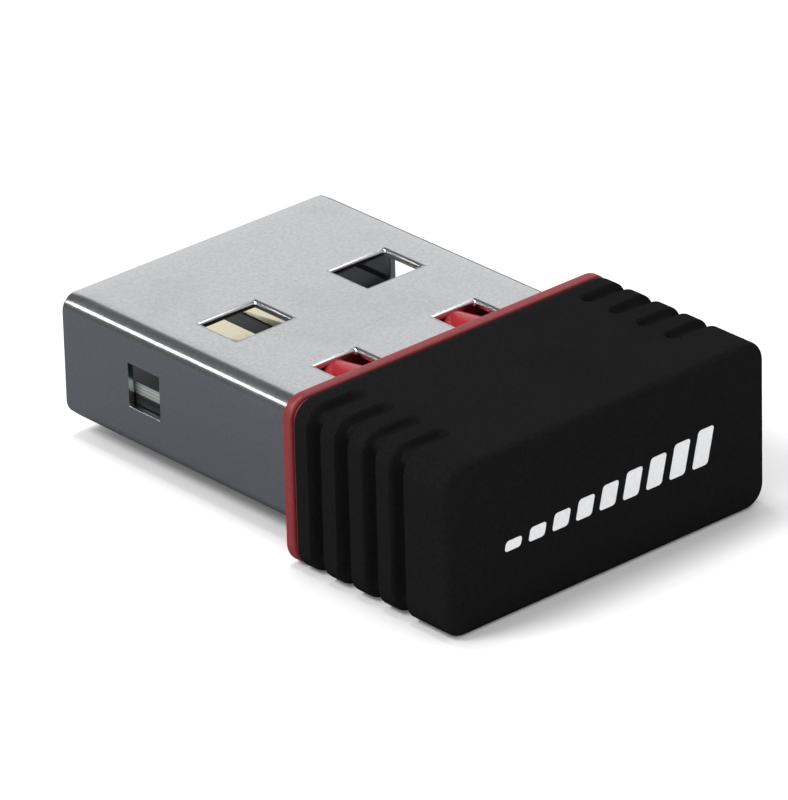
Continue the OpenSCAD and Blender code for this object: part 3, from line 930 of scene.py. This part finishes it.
@dataclass
class Collar:
    """The red moulding: the flange that shows all round, its spigot, and the ramps in the root slots.

    Attributes:
        low: Lowest corner of the CAD node.
        high: Its highest corner.
        shell_low: Lowest corner of the shell.
        shell_high: Its highest corner.
        corner: Corner radius of the flange.
        front_edge: Radius of the flange's front edge.
        back_edge: Radius of its back edge.
        shadow_gap: Length of the step behind the back edge.
        shadow_depth: How far that step lies inwards.
        shell_corner: Corner radius of the flange's bore.
        shell_gap: Gap between the bore and the shell.
        slot_centre: X of the right-hand root slots.
        slot_width: Width of a root slot.
        slot_end: Y where the root slots end.
        sheet: Thickness of the shell's steel.
        spigot_play: What the spigot lacks to the shell's inside, in width and in height.
        spigot_opening: Width and height of its opening.
        spigot_edge: Chamfer at its front.
        spigot_corner: Its corner radius.
        spigot_sunk: How far its back lies in front of the flange's.
        waist: How far it steps down under the root slots.
        waist_ends: Where that step ends, past the slots' end.
        ramp: The shape of the ramps.
    """

    low: np.ndarray = field(default_factory=lambda: box_mm("collar")[0])
    high: np.ndarray = field(default_factory=lambda: box_mm("collar")[1])
    shell_low: np.ndarray = field(default_factory=lambda: box_mm("plug_shell")[0])
    shell_high: np.ndarray = field(default_factory=lambda: box_mm("plug_shell")[1])
    corner: float = 0.8
    front_edge: float = 0.14
    back_edge: float = 0.12
    shadow_gap: float = 0.11
    shadow_depth: float = 0.14
    shell_corner: float = 0.62
    shell_gap: float = 0.02
    slot_centre: float = 2.65
    slot_width: float = 1.8
    slot_end: float = SLOT_END
    sheet: float = SHEET
    spigot_play: tuple[float, float] = (0.1, 0.06)
    spigot_opening: tuple[float, float] = (8.6, 2.7)
    spigot_edge: float = 0.12
    spigot_corner: float = 0.25
    spigot_sunk: float = 0.05
    waist: float = 0.5
    waist_ends: tuple[float, float] = (0.15, 0.2)
    ramp: Ramp = Ramp()

    def flange(self) -> bpy.types.Object:
        """The ring: a section of flat faces and rounded edges, carried round the cap's outline.

        Behind its back edge it steps inwards, which leaves a fine shadow line in front of the cap.

        Returns:
            The piece.
        """
        outline = Outline(arc_steps=12)
        width, height = self.high[0] - self.low[0], self.high[2] - self.low[2]
        rise = (self.high[2] + self.low[2]) / 2
        bore_w = self.shell_high[0] - self.shell_low[0] + 2 * self.shell_gap
        bore_h = self.shell_high[2] - self.shell_low[2] + 2 * self.shell_gap
        bore = outline.points(bore_w, bore_h, self.shell_corner)[0]

        def outer(inset: float, y: float) -> np.ndarray:
            """The outside outline, inset, in the plane at y."""
            flat = outline.points(width - 2 * inset, height - 2 * inset, self.corner - inset)[0]
            return along_y(flat, y, rise)

        front, back = 0.0, self.low[1] + self.shadow_gap
        loops = [along_y(bore, front)]
        loops += [outer(inset, front - climb) for inset, climb in rounded(self.front_edge, 5)]
        loops += [outer(inset, back + climb) for inset, climb in rounded(self.back_edge, 4)[::-1]]
        loops += [outer(self.shadow_depth, back), outer(self.shadow_depth, self.low[1])]
        loops.append(along_y(bore, self.low[1]))
        piece = new_piece("collar_flange", *loft(loops, ring=True))
        flat_faces_stay_flat(piece)
        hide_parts("collar")
        return RED.put_on(piece)

    def spigot(self) -> bpy.types.Object:
        """The frame inside the shell that the board passes through, waisted under the root slots.

        Returns:
            The piece.
        """
        outline = Outline(arc_steps=5)
        width = self.shell_high[0] - self.shell_low[0] - 2 * self.sheet - self.spigot_play[0]
        height = self.shell_high[2] - self.shell_low[2] - 2 * self.sheet - self.spigot_play[1]
        opening_w, opening_h = self.spigot_opening
        edge, back, front = self.spigot_edge, self.low[1] + self.spigot_sunk, self.high[1]
        waist_end, full_start = (self.slot_end + past for past in self.waist_ends)

        def outside(inset: float, y: float) -> np.ndarray:
            """The frame's outside, lowered and raised by the inset, in the plane at y."""
            size = (width - 2 * min(inset, edge), height - 2 * inset)
            return along_y(outline.points(*size, self.spigot_corner)[0], y)

        def inside(spread: float, y: float) -> np.ndarray:
            """The opening's outline, grown by the spread, in the plane at y."""
            size = (opening_w + 2 * spread, opening_h + 2 * spread)
            return along_y(outline.points(*size, self.spigot_corner)[0], y)

        loops = [inside(0, back), outside(self.waist, back), outside(self.waist, waist_end),
                 outside(0, full_start), outside(0, front - edge), outside(edge, front),
                 inside(edge, front), inside(0, front - edge)]
        return RED.put_on(new_piece("collar_spigot", *loft(loops, ring=True)))

    def ramps(self) -> bpy.types.Object:
        """The red plastic in the four root slots: a sunk floor and a tongue that slopes down from the flange.

        Let t be the smooth step from the tongue's start to its tip, and u the distance from its middle as
        a share of its half width, which narrows with t. The tongue's height is its height at the start
        times (1 - slope t), less crown u^2. Z is the floor plus that height times a smooth step of the
        distance past the tongue's flanks and tip.

        Returns:
            The piece.
        """
        ramp = self.ramp
        half, front = self.slot_width / 2 + ramp.overlap[0], self.slot_end + ramp.overlap[1]
        x, y = np.meshgrid(
            np.linspace(-half, half, ramp.samples), np.linspace(ramp.back, front, ramp.samples))
        roof = self.shell_high[2]
        floor = roof - self.sheet - self.waist + ramp.floor_rise
        t = smooth(y, ramp.start, ramp.tip)
        u = np.abs(x) / (ramp.flank * (1 - ramp.narrowing * t))
        past = np.maximum((u - 1) * ramp.flank, 0) + np.maximum(y - ramp.tip + ramp.fall, 0)
        height = (roof - ramp.sunk - floor) * (1 - ramp.slope * t) - ramp.crown * np.clip(u, 0, 1) ** 2
        z = floor + height * smooth(past, ramp.fall, 0.0)
        top = np.stack([x, y, z], -1)
        skirt = top.copy()
        skirt[..., 2] = floor - ramp.thick
        rows, columns = x.shape
        count = rows * columns
        upper = grid_faces(rows, columns, False, False).reshape(-1, 4)
        number = np.arange(count).reshape(rows, columns)
        border = np.concatenate([number[0], number[1:, -1], number[-1, -2::-1], number[-2:0:-1, 0]])
        after = np.roll(border, -1)
        sides = np.stack([after, border, border + count, after + count], 1)
        faces = np.concatenate([upper, upper[:, ::-1] + count, sides])
        one = np.concatenate([top.reshape(-1, 3), skirt.reshape(-1, 3)])
        parts = [(one * (turn, 1, turn) + (side * self.slot_centre, 0, 0), faces.tolist())
                 for side in (-1, 1) for turn in (1, -1)]
        # The ramps wear the red's glossier copy, whose brighter base colour is painted light in the slots.
        return RED_GLOSSY_PAINTED_LIGHT.put_on(new_piece("collar_ramps", *joined(parts)))


# ---------------------------------------------------------------- the cap


@dataclass(frozen=True)
class BarRow:
    """The print's row of bars, in millimetres.

    Attributes:
        count: Number of bars.
        width: Width of a bar.
        pitch: Distance from one bar to the next.
        slant: Shift in X for each millimetre of height.
        shortest: Height of the first bar.
        tallest: Height of the last bar.
        foot: Z of the bars' feet, from the middle of the end.
        left: X of the first bar's foot.
        corner: Corner radius of a bar.
        proud: Thickness of the ink.
        sunk: How far a bar reaches into the end.
    """

    count: int = 9
    width: float = 0.7
    pitch: float = 1.04
    slant: float = 0.24
    shortest: float = 0.36
    tallest: float = 1.32
    foot: float = -0.64
    left: float = -4.58
    corner: float = 0.12
    proud: float = 0.012
    sunk: float = 0.004


@dataclass
class Cap:
    """The hollow black cap with its grip grooves, rails and clip, and the white print on its end.

    Attributes:
        low: Lowest corner of the CAD node.
        high: Its highest corner.
        corner: Corner radius of the outside.
        end_edge: Radius of the edge round the end.
        front_edge: Radius of the edge behind the collar.
        end_wall: Thickness of the end.
        cavity_w: Width of the cavity.
        cavity_h: Height of the cavity.
        cavity_corner: Corner radius of the cavity.
        cavity_chamfer: Chamfer at its mouth.
        groove_count: Grooves on each side.
        groove_first: Y of the first groove.
        groove_pitch: Distance from one groove to the next.
        groove_half: Half of a groove's width at the top.
        groove_floor: Half of its flat floor's width.
        groove_depth: Its depth on the sides.
        groove_step: Distance between the section's planes along the grooves.
        runout_depth: Its depth on the top and the underside.
        runout_x: Half of the distance between the two ends there.
        runout_span: How far the fine sampling reaches inwards and outwards from a groove's end.
        runout_step: Longest step of that sampling.
        rail_x: X of a rail's inner face.
        rail_front: Y of the rails' front ends.
        rail_top: Z of the upper rails.
        rail_play: Gap between a rail and the board.
        clip_x: Half width of the clip.
        clip_y: Range in Y of the clip.
        clip_drop: How far the clip stands into the cavity.
        bedded: How far the rails and the clip reach into the walls.
        bars: The print.
    """

    low: np.ndarray = field(default_factory=lambda: box_mm("housing_cap")[0])
    high: np.ndarray = field(default_factory=lambda: box_mm("housing_cap")[1])
    corner: float = 0.8
    end_edge: float = 0.25
    front_edge: float = 0.15
    end_wall: float = 1.0
    cavity_w: float = 12.1
    cavity_h: float = 4.56
    cavity_corner: float = 0.1
    cavity_chamfer: float = 0.05
    groove_count: int = 4
    groove_first: float = -1.55
    groove_pitch: float = 1.32
    groove_half: float = 0.36
    groove_floor: float = 0.14
    groove_depth: float = 0.48
    groove_step: float = 0.046
    runout_depth: float = 0.26
    runout_x: float = 5.18
    runout_span: tuple[float, float] = (0.45, 0.1)
    runout_step: float = 0.07
    rail_x: float = 4.7
    rail_front: float = -3.0
    rail_top: float = 0.85
    rail_play: float = 0.03
    clip_x: float = 0.7
    clip_y: tuple[float, float] = (-1.95, -1.25)
    clip_drop: float = 0.22
    bedded: float = 0.1
    bars: BarRow = BarRow()

    def outline(self) -> Outline:
        """The sampling of the cap's section: dense where the grooves run out, sparse elsewhere.

        Returns:
            The sampling.
        """
        half = (self.high[0] - self.low[0]) / 2 - self.corner
        inwards, outwards = self.runout_span
        dense = lines([self.runout_x - inwards, self.runout_x + outwards, half], self.runout_step) / half
        across = (*-dense[::-1], *np.linspace(-dense[0], dense[0], 7)[1:-1], *dense)
        return Outline(across=across, upright=tuple(np.linspace(-1, 1, 9)), arc_steps=12)

    def carve(self, points: np.ndarray, normals: np.ndarray, y: float) -> np.ndarray:
        """Sinks the grip grooves into a loop of the outside.

        A point moves inwards along its normal by the depth there times a smooth step of its distance
        from the groove's line. The depth goes from the side's to the run-out's with the normal's tilt,
        and past the run-out's end the distance is measured round that end.

        Args:
            points: The loop (n, 2), in X and Z.
            normals: Its normals (n, 2).
            y: The loop's plane.

        Returns:
            The carved loop (n, 2).
        """
        centres = self.groove_first - self.groove_pitch * np.arange(self.groove_count)
        off = np.abs(y - centres).min()
        past = np.maximum(self.runout_x - np.abs(points[:, 0]), 0)
        near = smooth(np.hypot(off, past), self.groove_half, self.groove_floor)
        upright, level = 0.1, 0.9
        tilt = smooth(np.abs(normals[:, 1]), upright, level)
        depth = self.groove_depth + (self.runout_depth - self.groove_depth) * tilt
        return points - normals * (depth * near)[:, None]

    def shell(self) -> bpy.types.Object:
        """The cap: one skin from the middle of the inside end wall, round the front rim, to the outside end.

        Returns:
            The piece.
        """
        outline, chamfer, margin = self.outline(), self.cavity_chamfer, 0.05
        width, height = self.high[0] - self.low[0], self.high[2] - self.low[2]
        rise = (self.high[2] + self.low[2]) / 2
        front, back = self.high[1], self.low[1]

        def outer(inset: float, y: float) -> np.ndarray:
            """The carved outside outline, inset, in the plane at y."""
            flat, normals = outline.points(width - 2 * inset, height - 2 * inset, self.corner - inset)
            return along_y(self.carve(flat, normals, y), y, rise)

        def inner(scale: float, y: float) -> np.ndarray:
            """The cavity's outline, scaled about its middle, in the plane at y."""
            return along_y(outline.points(self.cavity_w, self.cavity_h, self.cavity_corner)[0] * scale, y)

        deep = back + self.end_wall
        mouth = (self.cavity_w + 2 * chamfer, self.cavity_h + 2 * chamfer, self.cavity_corner + chamfer)
        loops = [inner(s, deep) for s in (0.05, 0.5, 0.98)]
        loops += [inner(1.0, y) for y in (deep + 0.02, (deep + front) / 2, front - chamfer)]
        loops += [along_y(outline.points(*mouth)[0], front)]
        loops += [outer(inset, front - climb) for inset, climb in rounded(self.front_edge, 4)]
        last = self.groove_first - self.groove_pitch * (self.groove_count - 1) - self.groove_half
        grooved = lines([front - self.front_edge - margin, last - margin], self.groove_step)[::-1]
        loops += [outer(0.0, y) for y in (*grooved, last - 0.3, back + self.end_edge + margin)]
        loops += [outer(inset, back + climb) for inset, climb in rounded(self.end_edge, 8)[::-1]]
        end = loops[-1]
        middle = end.mean(0)
        loops += [middle + (end - middle) * s for s in (0.985, 0.66, 0.33, 0.05)]
        piece = new_piece("cap_shell", *loft(loops, ring=False))
        flat_faces_stay_flat(piece)
        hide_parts("housing_cap")
        return CAP_BLACK.put_on(piece)

    def rails(self) -> bpy.types.Object:
        """The rails inside that hold the board's rear edges, and the clip for the shell's root.

        Returns:
            The piece.
        """
        edge, corner = 0.06, 0.08
        inner, wall, roof = self.rail_x, self.cavity_w / 2 + self.bedded, self.cavity_h / 2
        back, front = self.low[1] + self.end_wall - self.bedded, self.rail_front
        board_low, board_high = (v[2] for v in box_mm("circuit_board"))
        boxes = []
        for z0, z1 in ((-roof - self.bedded, board_low - self.rail_play),
                       (board_high + self.rail_play, self.rail_top)):
            boxes += [[[inner, back, z0], [wall, front, z1]], [[-wall, back, z0], [-inner, front, z1]]]
        boxes.append([[-self.clip_x, self.clip_y[0], roof - self.clip_drop],
                      [self.clip_x, self.clip_y[1], roof + self.bedded]])
        return CAP_BLACK.put_on(new_piece("cap_rails", *blocks(np.array(boxes), edge, corner)))

    def print_mark(self) -> bpy.types.Object:
        """The print on the end: a plain row of slanted bars that grow, as on a signal meter.

        Each bar is a rounded rectangle sheared in X by its height, as a thin plate on the end face.

        Returns:
            The piece.
        """
        bars = self.bars
        rise = (self.high[2] + self.low[2]) / 2
        outline = Outline(arc_steps=5)
        parts = []
        for i in range(bars.count):
            tall = bars.shortest + (bars.tallest - bars.shortest) * i / (bars.count - 1)
            flat, _ = outline.points(bars.width, tall, bars.corner)
            flat += (bars.left + bars.width / 2 + bars.pitch * i, bars.foot + tall / 2)
            flat[:, 0] += bars.slant * (flat[:, 1] - bars.foot)
            planes = (self.low[1] + bars.sunk, self.low[1] - bars.proud)
            parts.append(loft([along_y(flat, y, rise) for y in planes], ring=False))
        return INK.put_on(new_piece("end_print", *joined(parts)))


# ---------------------------------------------------------------- inside the plug and the cap


@dataclass
class PlugCore:
    """The board, the block under it and the gold contacts.

    Attributes:
        contact_corner: Corner radius of a contact.
        contact_edge: Radius of a contact's edges.
        support_rounding: Rounding of the block's edges.
        lip_bevel: Chamfer at the foot of the block's front lip.
        lip_crown: Chamfer at the lip's top, in Y and in Z.
        cheek: Range in X of the right-hand cheek.
        cheek_top: Z of the cheeks' upper edge.
        cheek_margins: How far the cheeks stay inside the block at its back, front and foot.
        cheek_edge: Radius of the cheeks' edges.
    """

    contact_corner: float = 0.18
    contact_edge: float = 0.02
    support_rounding: float = 0.08
    lip_bevel: float = 0.35
    lip_crown: tuple[float, float] = (0.1, 0.3)
    cheek: tuple[float, float] = (5.61, 5.71)
    cheek_top: float = -0.36
    cheek_margins: tuple[float, float, float] = (0.2, 0.5, 0.3)
    cheek_edge: float = 0.03

    def contacts(self) -> list[bpy.types.Object]:
        """The four contacts, each a plate with rounded corners and edges.

        Returns:
            The pieces.
        """
        made = []
        for node in ("contact_vbus", "contact_data_minus", "contact_data_plus", "contact_ground"):
            block = blocks(np.array([box_mm(node)]), self.contact_edge, self.contact_corner)
            plate = new_piece(f"{node}_plate", *block)
            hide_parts(node)
            made.append(GOLD.put_on(plate))
        return made

    def support(self) -> bpy.types.Object:
        """The block under the board: its side outline, carried across the plug, with rounded edges.

        Returns:
            The piece.
        """
        low, high = box_mm("tongue_support")
        board_low, board_high = box_mm("circuit_board")
        lip, (crown_y, crown_z) = board_high[1], self.lip_crown
        outline = np.array([
            [low[1], low[2]], [high[1] - self.lip_bevel, low[2]], [high[1], low[2] + self.lip_bevel],
            [high[1], high[2] - crown_z], [high[1] - crown_y, high[2]], [lip, high[2]],
            [lip, board_low[2]], [low[1], board_low[2]]])
        across = np.linspace(low[0], high[0], 5)
        loops = [np.column_stack([np.full(len(outline), x), outline]) for x in across]
        count = len(outline)
        faces = grid_faces(len(loops), count, False, True).reshape(-1, 4).tolist()
        faces += [list(range(count))[::-1], [v + (len(loops) - 1) * count for v in range(count)]]
        piece = new_piece("tongue_support_block", np.concatenate(loops), faces)
        bevel(piece, self.support_rounding, segments=3)
        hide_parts("tongue_support")
        return INSULATOR.put_on(piece)

    def cheeks(self) -> bpy.types.Object:
        """The block's thin cheeks, which hold the lower half of the board's side edges.

        Returns:
            The piece.
        """
        low, high = box_mm("tongue_support")
        near, far = self.cheek
        back, front, foot = np.array([low[1], high[1], low[2]]) + np.array([1, -1, 1]) * self.cheek_margins
        boxes = np.array([[[near, back, foot], [far, front, self.cheek_top]],
                          [[-far, back, foot], [-near, front, self.cheek_top]]])
        skin = blocks(boxes, self.cheek_edge, self.cheek_edge)
        return INSULATOR.put_on(new_piece("tongue_support_cheeks", *skin))

    def board(self) -> bpy.types.Object:
        """The board keeps its CAD shape and gets the laminate's finish."""
        return BOARD.put_on(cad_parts["circuit_board"])


@dataclass(frozen=True)
class PartKind:
    """How the solids of a node of small parts are finished and rounded.

    Attributes:
        finish: The finish.
        edge: Radius along the upper and lower edges, in millimetres.
        corner: Radius of the upright corners, in millimetres.
    """

    finish: Finish
    edge: float
    corner: float


@dataclass
class BoardParts:
    """The parts soldered to the board.

    Attributes:
        rounded: The nodes of box-shaped parts, which get rounded meshes.
        kept: The nodes that keep their CAD shape, and their finishes.
    """

    rounded: dict[str, PartKind] = field(default_factory=lambda: {
        "wifi_chip": PartKind(RESIN, 0.05, 0.05),
        "wifi_chip_pads": PartKind(TIN, 0.02, 0.04),
        "crystal_base": PartKind(CRYSTAL_BASE, 0.04, 0.12),
        "crystal_lid": PartKind(CRYSTAL_LID, 0.06, 0.3),
        "regulator_body": PartKind(RESIN, 0.08, 0.06),
        "esd_protection": PartKind(RESIN, 0.07, 0.05),
        "power_inductor": PartKind(FERRITE, 0.06, 0.06),
        "inductor_terminals": PartKind(TIN, 0.05, 0.06),
        "ferrite_bead": PartKind(FERRITE, 0.04, 0.04),
        "ferrite_bead_terminals": PartKind(TIN, 0.05, 0.05),
        "bulk_capacitors": PartKind(CAPACITOR, 0.05, 0.05),
        "bulk_capacitor_terminals": PartKind(TIN, 0.06, 0.06),
        "bypass_capacitors": PartKind(CAPACITOR, 0.03, 0.03),
        "bypass_capacitor_terminals": PartKind(TIN, 0.04, 0.04),
        "resistors": PartKind(RESISTOR, 0.02, 0.02),
        "resistor_terminals": PartKind(TIN, 0.03, 0.03),
        "rf_filter": PartKind(ANTENNA_CERAMIC, 0.04, 0.04),
        "rf_filter_terminals": PartKind(TIN, 0.04, 0.04),
        "chip_antenna": PartKind(ANTENNA_CERAMIC, 0.06, 0.06),
        "antenna_terminals": PartKind(TIN, 0.06, 0.06),
    })
    kept: dict[str, Finish] = field(default_factory=lambda: {
        "regulator_leads": TIN, "esd_leads": TIN, "usb_traces": COPPER, "antenna_feed": COPPER,
    })

    def build(self) -> list[bpy.types.Object]:
        """Rounds the box-shaped parts and dresses the leads and the copper as they are.

        Returns:
            The new pieces, then the dressed CAD nodes.
        """
        made = []
        for node, kind in self.rounded.items():
            piece = new_piece(f"{node}_solids", *blocks(solid_boxes(node), kind.edge, kind.corner))
            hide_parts(node)
            made.append(kind.finish.put_on(piece))
        made += [finish.put_on(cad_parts[node]) for node, finish in self.kept.items()]
        return made


# ---------------------------------------------------------------- the studio


@dataclass(frozen=True)
class Softbox:
    """A rectangular light that faces the object.

    Attributes:
        name: The light's name.
        azimuth: Direction it comes from, in degrees; 0 is from -Y and 90 from +X.
        elevation: Degrees above the horizon.
        distance: Distance in metres.
        size: Width and height in metres.
        radiance: Brightness of its face.
    """

    name: str
    azimuth: float
    elevation: float
    distance: float
    size: tuple[float, float]
    radiance: float


@dataclass
class Studio:
    """Pale floor, soft lights and the camera.

    Attributes:
        floor_half: Half of the floor's side, in metres.
        floor_colour: Colour of the floor.
        floor_in_gloss: Brightness of the floor as glossy rays see it.
        floor_gloss_tint: Its tint as they see it.
        dome: Brightness of the surroundings.
        dome_in_gloss: Their brightness as glossy rays see it.
        lights: The softboxes.
        azimuth: The camera's azimuth in degrees, as a softbox's.
        elevation: Its elevation in degrees.
        roll: Its turn about its axis, in degrees.
        distance: Its distance from the target, in metres.
        lens: Focal length, in millimetres.
        shift: Shift of the lens in X and Y.
        target: The point that it faces, in metres.
    """

    floor_half: float = 1.5
    floor_colour: tuple[float, float, float] = (0.93, 0.93, 0.935)
    floor_in_gloss: float = 0.098
    floor_gloss_tint: tuple[float, float, float] = (0.96, 0.99, 1.1)
    dome: float = 0.5
    dome_in_gloss: float = 0.1
    lights: tuple[Softbox, ...] = (
        Softbox("main", -116.0, 50.0, 0.5, (0.16, 0.16), 15.0),
        Softbox("top", 180.0, 80.0, 0.5, (0.12, 0.12), 16.0),
        Softbox("back", 138.0, 17.5, 0.5, (0.44, 0.28), 0.69),
        Softbox("back_left_strip", -145.0, 28.0, 0.45, (0.05, 0.075), 6.0),
        Softbox("left_fill", -80.0, 24.0, 0.5, (0.4, 0.2), 2.0),
        Softbox("right_strip", 90.0, 46.0, 0.45, (0.42, 0.12), 2.2),
        Softbox("front", 5.0, 28.0, 0.5, (0.75, 0.4), 0.42),
    )
    azimuth: float = -41.84
    elevation: float = 26.17
    roll: float = -1.32
    distance: float = 0.25594
    lens: float = 350.0
    shift: tuple[float, float] = (-0.0638, 0.0170)
    target: tuple[float, float, float] = (0.0, 0.0, 0.0001)

    @staticmethod
    def direction(azimuth: float, elevation: float) -> Vector:
        """Unit vector towards a place seen at that azimuth and elevation, in degrees."""
        a, e = math.radians(azimuth), math.radians(elevation)
        return Vector((math.sin(a) * math.cos(e), -math.cos(a) * math.cos(e), math.sin(e)))

    def floor(self, height: float) -> bpy.types.Object:
        """The pale floor. Glossy rays see it darker, so that it doesn't flood the plug's shiny sides.

        Args:
            height: Z of the floor, in metres.

        Returns:
            The floor.
        """
        half = self.floor_half
        corners = [(-half, -half, height), (half, -half, height), (half, half, height), (-half, half, height)]
        mesh = bpy.data.meshes.new("floor")
        mesh.from_pydata(corners, [], [(0, 1, 2, 3)])
        floor = bpy.data.objects.new("floor", mesh)
        bpy.context.scene.collection.objects.link(floor)
        floor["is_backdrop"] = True
        paint = bpy.data.materials.new("floor_paint")
        paint.use_nodes = True
        nodes, links = paint.node_tree.nodes, paint.node_tree.links
        nodes.remove(nodes["Principled BSDF"])
        seen, mirrored, mix, path = (
            nodes.new(f"ShaderNode{k}") for k in ("BsdfDiffuse", "BsdfDiffuse", "MixShader", "LightPath"))
        dimmed = (self.floor_in_gloss * tint for tint in self.floor_gloss_tint)
        seen.inputs["Color"].default_value = (*self.floor_colour, 1)
        mirrored.inputs["Color"].default_value = (*dimmed, 1)
        links.new(path.outputs["Is Glossy Ray"], mix.inputs[0])
        links.new(seen.outputs[0], mix.inputs[1])
        links.new(mirrored.outputs[0], mix.inputs[2])
        links.new(mix.outputs[0], nodes["Material Output"].inputs["Surface"])
        mesh.materials.append(paint)
        return floor

    def light(self, box: Softbox) -> bpy.types.Object:
        """Sets up one softbox; its power is its radiance times pi times its area.

        Args:
            box: The softbox.

        Returns:
            The light.
        """
        data = bpy.data.lights.new(box.name, "AREA")
        data.shape = "RECTANGLE"
        data.size, data.size_y = box.size
        data.energy = box.radiance * math.pi * box.size[0] * box.size[1]
        lamp = bpy.data.objects.new(box.name, data)
        towards = self.direction(box.azimuth, box.elevation)
        aim = towards.to_track_quat("Z", "Y").to_matrix().to_4x4()
        lamp.matrix_world = Matrix.Translation(towards * box.distance) @ aim
        bpy.context.scene.collection.objects.link(lamp)
        return lamp

    def camera(self) -> bpy.types.Object:
        """The long-lens camera, rolled about its axis.

        Returns:
            The camera.
        """
        data = bpy.data.cameras.new("camera")
        data.lens = self.lens
        data.shift_x, data.shift_y = self.shift
        data.clip_start, data.clip_end = 0.01, 10.0
        camera = bpy.data.objects.new("camera", data)
        back = self.direction(self.azimuth, self.elevation)
        right = (-back).cross(Vector((0, 0, 1))).normalized()
        up = right.cross(-back).normalized()
        turn = math.radians(self.roll)
        rolled_right = math.cos(turn) * right + math.sin(turn) * up
        rolled_up = math.cos(turn) * up - math.sin(turn) * right
        basis = Matrix((rolled_right, rolled_up, back)).transposed().to_4x4()
        camera.matrix_world = Matrix.Translation(Vector(self.target) + back * self.distance) @ basis
        bpy.context.scene.collection.objects.link(camera)
        bpy.context.scene.camera = camera
        return camera

    def surroundings(self) -> None:
        """A plain grey dome that glossy rays see darker than diffuse ones."""
        world = bpy.data.worlds.new("surroundings")
        world.use_nodes = True
        nodes, links = world.node_tree.nodes, world.node_tree.links
        path, strength = nodes.new("ShaderNodeLightPath"), nodes.new("ShaderNodeMapRange")
        strength.inputs["To Min"].default_value = self.dome
        strength.inputs["To Max"].default_value = self.dome_in_gloss
        links.new(path.outputs["Is Glossy Ray"], strength.inputs["Value"])
        links.new(strength.outputs["Result"], nodes["Background"].inputs["Strength"])
        nodes["Background"].inputs["Color"].default_value = (1, 1, 1, 1)
        bpy.context.scene.world = world

    def build(self, floor_height: float) -> None:
        """Sets up the floor, the lights, the surroundings and the camera.

        Args:
            floor_height: Z of the floor, in metres.
        """
        self.floor(floor_height)
        for box in self.lights:
            self.light(box)
        self.surroundings()
        bpy.context.scene.view_settings.view_transform = "Standard"
        self.camera()


def main() -> None:
    """Builds every sub-assembly in order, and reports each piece."""
    logging.basicConfig(level=logging.INFO, format="%(name)s: %(message)s")
    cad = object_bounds()
    shell, collar, cap, core = PlugShell(), Collar(), Cap(), PlugCore()
    made = [shell.build(), shell.rims(), collar.flange(), collar.spigot(), collar.ramps(),
            cap.shell(), cap.rails(), cap.print_mark(), core.support(), core.cheeks(), core.board(),
            *core.contacts(), *BoardParts().build()]
    for piece in made:
        log.info("%s: %d faces", piece.name, len(piece.data.polygons))
    Studio().build(cad[0].z)


if __name__ == "__main__":
    main()
